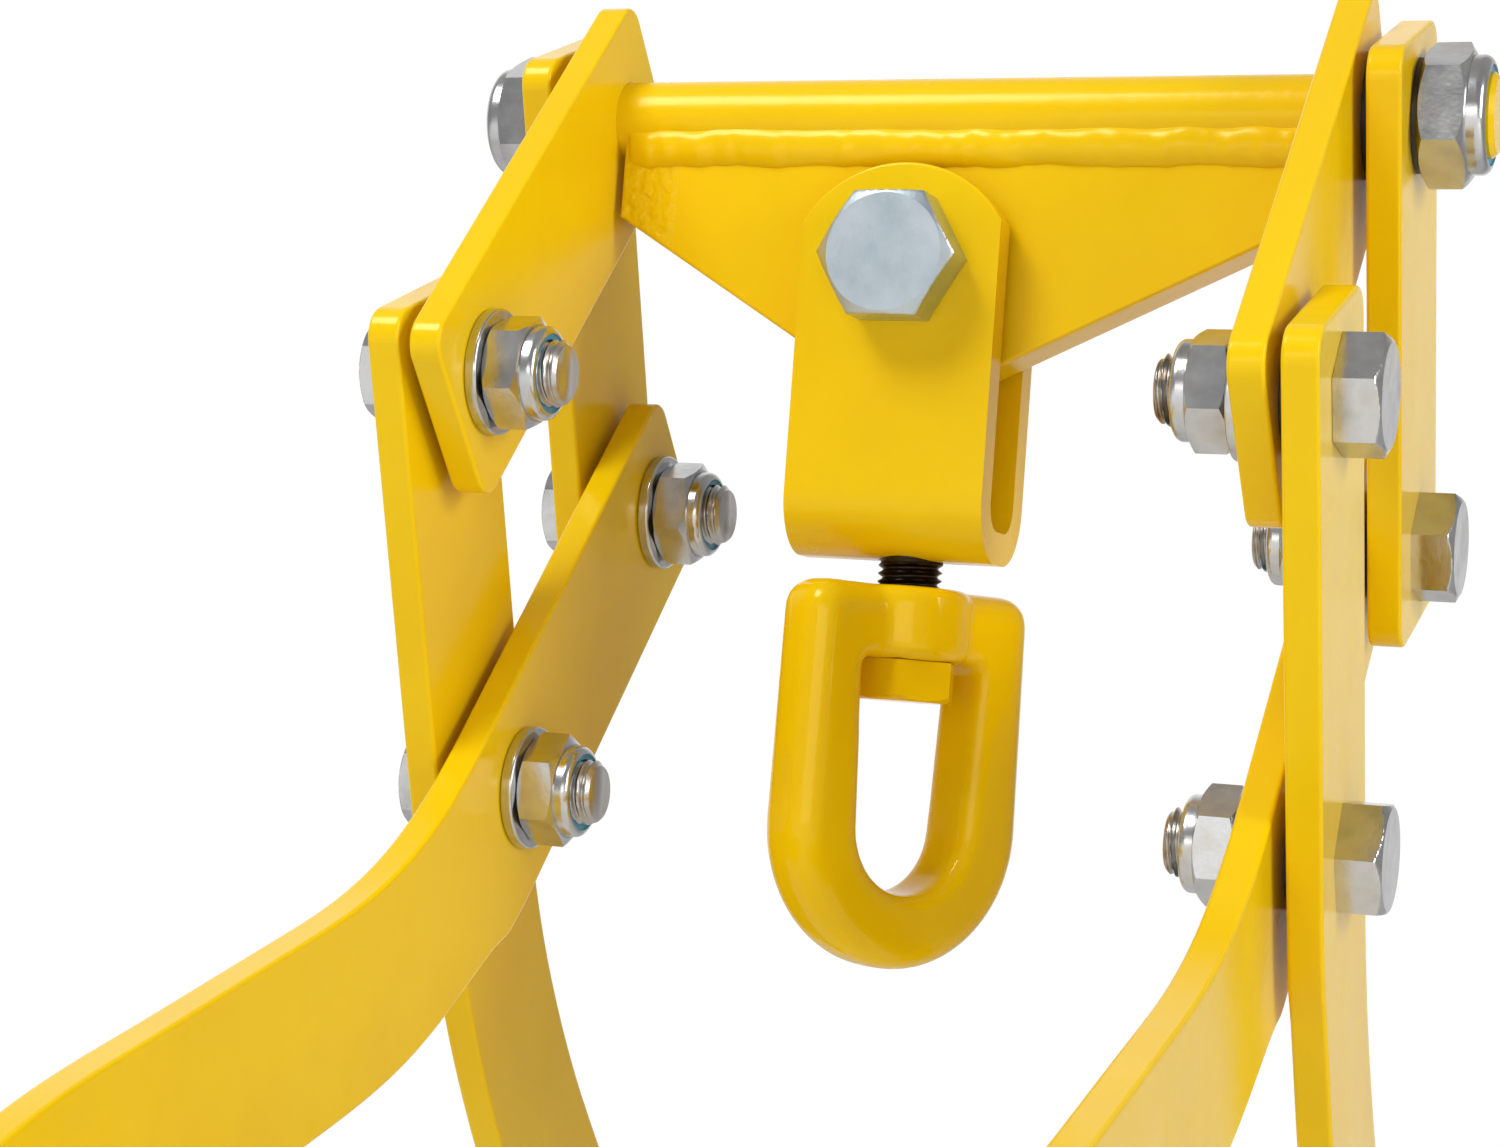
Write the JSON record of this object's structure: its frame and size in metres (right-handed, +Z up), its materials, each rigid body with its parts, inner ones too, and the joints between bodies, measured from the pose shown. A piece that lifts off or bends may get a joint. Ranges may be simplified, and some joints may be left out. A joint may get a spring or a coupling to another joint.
{
  "type": "four-claw log tongs with spreader beam",
  "caption": "Painted steel lifting tongs: a spreader bar with clevis and swivel eye carries folding links and hooked claws at each end.",
  "frame": {"origin": "on the ground under the middle of the bar, midway between the four claw tips", "axes": "+X along the bar to the right, -Y towards the side that the clevis bolt's head faces, +Z up"},
  "size_m": [0.254, 0.488, 0.5357],
  "materials": {
    "beam_paint": "glossy yellow powder coat with light orange peel",
    "plate_paint": "smooth glossy yellow powder coat",
    "forged_paint": "thick glossy yellow paint over a forging",
    "zinc": "bright zinc plate",
    "nylon": "blue nylon",
    "dark_steel": "dark oiled steel",
    "black_steel": "black oxide thread, painted head"
  },
  "bodies": {
    "beam": {"cross_bar": "beam_paint", "gusset_plate": "beam_paint", "gusset_welds": "beam_paint", "bar_end_washers": "dark_steel", "bar_end_nuts": "zinc", "bar_end_nylon": "nylon"},
    "clevis": {"clevis": "beam_paint", "clevis_bolt": "zinc", "clevis_nut": "zinc", "clevis_nylon": "nylon", "stem_bolt": "black_steel"},
    "eye": {"swivel_eye": "forged_paint"},
    "left_collar": {"left_bar_spacers": "dark_steel"},
    "left_front_link": {"left_front_link": "plate_paint", "left_front_bolt": "zinc", "left_front_washer": "zinc", "left_front_nut": "zinc", "left_front_nylon": "nylon", "left_front_spacers": "dark_steel"},
    "left_rear_link": {"left_rear_link": "plate_paint", "left_rear_bolt": "zinc", "left_rear_washer": "zinc", "left_rear_nut": "zinc", "left_rear_nylon": "nylon", "left_rear_spacers": "dark_steel"},
    "left_rear_claw": {"left_rear_claw": "plate_paint", "left_centre_bolt": "zinc", "left_centre_washer": "zinc", "left_centre_nut": "zinc", "left_centre_nylon": "nylon", "left_centre_spacers": "dark_steel"},
    "left_front_claw": {"left_front_claw": "plate_paint"},
    "right_collar": {"right_bar_spacers": "dark_steel"},
    "right_front_link": {"right_front_link": "plate_paint", "right_front_bolt": "zinc", "right_front_washer": "zinc", "right_front_nut": "zinc", "right_front_nylon": "nylon", "right_front_spacers": "dark_steel"},
    "right_rear_link": {"right_rear_link": "plate_paint", "right_rear_bolt": "zinc", "right_rear_washer": "zinc", "right_rear_nut": "zinc", "right_rear_nylon": "nylon", "right_rear_spacers": "dark_steel"},
    "right_rear_claw": {"right_rear_claw": "plate_paint", "right_centre_bolt": "zinc", "right_centre_washer": "zinc", "right_centre_nut": "zinc", "right_centre_nylon": "nylon", "right_centre_spacers": "dark_steel"},
    "right_front_claw": {"right_front_claw": "plate_paint"}
  },
  "joints": [
    {"name": "clevis_swing", "type": "hinge", "parent": "beam", "child": "clevis", "pos_m": [-0.0095, 0.03585, 0.47119], "axis": [0, 0.9799, 0.1994], "range_deg": [-10, 10]},
    {"name": "eye_swivel", "type": "hinge", "parent": "clevis", "child": "eye", "pos_m": [-0.0065, 0.05319, 0.38593], "axis": [0, -0.1994, 0.9799], "continuous": true},
    {"name": "left_turn", "type": "hinge", "parent": "beam", "child": "left_collar", "pos_m": [0, 0.02827, 0.50842], "axis": [1, 0, 0], "continuous": true},
    {"name": "left_fold", "type": "hinge", "parent": "left_collar", "child": "left_front_link", "pos_m": [0, 0.02827, 0.50842], "axis": [-1, 0, 0], "range_deg": [-17, 30]},
    {"name": "left_rear_link_fold", "type": "hinge", "parent": "left_collar", "child": "left_rear_link", "pos_m": [0, 0.02827, 0.50842], "axis": [-1, 0, 0], "range_deg": [-31, 18]},
    {"name": "left_front_pivot", "type": "hinge", "parent": "left_front_link", "child": "left_rear_claw", "pos_m": [0, -0.02892, 0.42036], "axis": [-1, 0, 0], "range_deg": [-61, 35]},
    {"name": "left_centre_pivot", "type": "hinge", "parent": "left_rear_claw", "child": "left_front_claw", "pos_m": [0, 0.02827, 0.3323], "axis": [-1, 0, 0], "range_deg": [-35, 61]},
    {"name": "right_turn", "type": "hinge", "parent": "beam", "child": "right_collar", "pos_m": [0, 0.02827, 0.50842], "axis": [1, 0, 0], "continuous": true},
    {"name": "right_fold", "type": "hinge", "parent": "right_collar", "child": "right_front_link", "pos_m": [0, 0.02827, 0.50842], "axis": [-1, 0, 0], "range_deg": [-17, 30]},
    {"name": "right_rear_link_fold", "type": "hinge", "parent": "right_collar", "child": "right_rear_link", "pos_m": [0, 0.02827, 0.50842], "axis": [-1, 0, 0], "range_deg": [-31, 18]},
    {"name": "right_front_pivot", "type": "hinge", "parent": "right_front_link", "child": "right_rear_claw", "pos_m": [0, -0.02892, 0.42036], "axis": [-1, 0, 0], "range_deg": [-61, 35]},
    {"name": "right_centre_pivot", "type": "hinge", "parent": "right_rear_claw", "child": "right_front_claw", "pos_m": [0, 0.02827, 0.3323], "axis": [-1, 0, 0], "range_deg": [-35, 61]}
  ],
  "couplings": [
    {"joint": "left_rear_link_fold", "follows": "left_fold", "ratio": -1},
    {"joint": "left_front_pivot", "follows": "left_fold", "ratio": -2},
    {"joint": "left_centre_pivot", "follows": "left_fold", "ratio": 2},
    {"joint": "right_rear_link_fold", "follows": "right_fold", "ratio": -1},
    {"joint": "right_front_pivot", "follows": "right_fold", "ratio": -2},
    {"joint": "right_centre_pivot", "follows": "right_fold", "ratio": 2}
  ]
}
